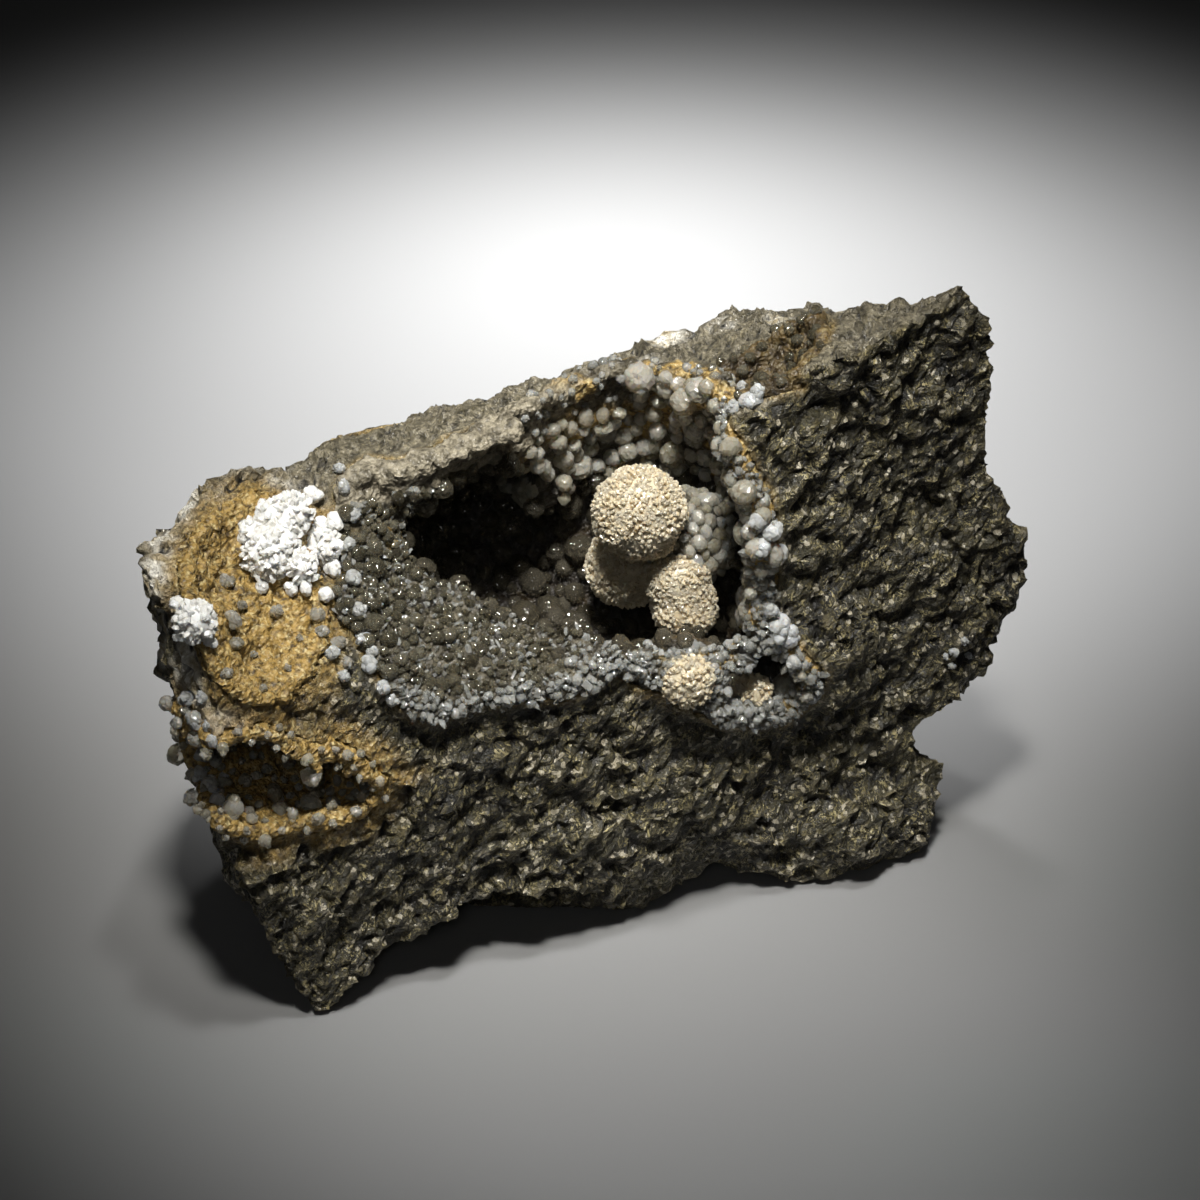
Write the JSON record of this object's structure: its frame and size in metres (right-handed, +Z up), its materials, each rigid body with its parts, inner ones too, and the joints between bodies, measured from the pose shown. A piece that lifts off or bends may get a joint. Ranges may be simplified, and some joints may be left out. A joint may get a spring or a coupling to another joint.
{
  "type": "phillipsite specimen",
  "caption": "Broken block of dark basalt with open vugs lined with translucent crystal balls and a group of larger cream balls.",
  "frame": {"origin": "middle of the bounding box, on the surface the block rests on", "axes": "+X along the front face to the right, +Y from the front face to the back, +Z up"},
  "size_m": [0.085, 0.0444, 0.0598],
  "materials": {
    "basalt": "rough broken basalt, fine-grained, nearly black",
    "grey_druse": "translucent grey-white crystal crust, sparkling",
    "ochre_druse": "yellow-brown fibrous lining with pale crystal balls",
    "brown_druse": "thin yellow-brown lining",
    "cream_crystal": "cream translucent crystal balls with a finely crystalline skin"
  },
  "bodies": {
    "root": {"basalt_matrix": "basalt", "main_vug_crust": "grey_druse", "left_scoop_crust": "ochre_druse", "left_alcove_crust": "ochre_druse", "top_vug_crust": "brown_druse", "cream_sphere_cluster": "cream_crystal"}
  },
  "joints": []
}
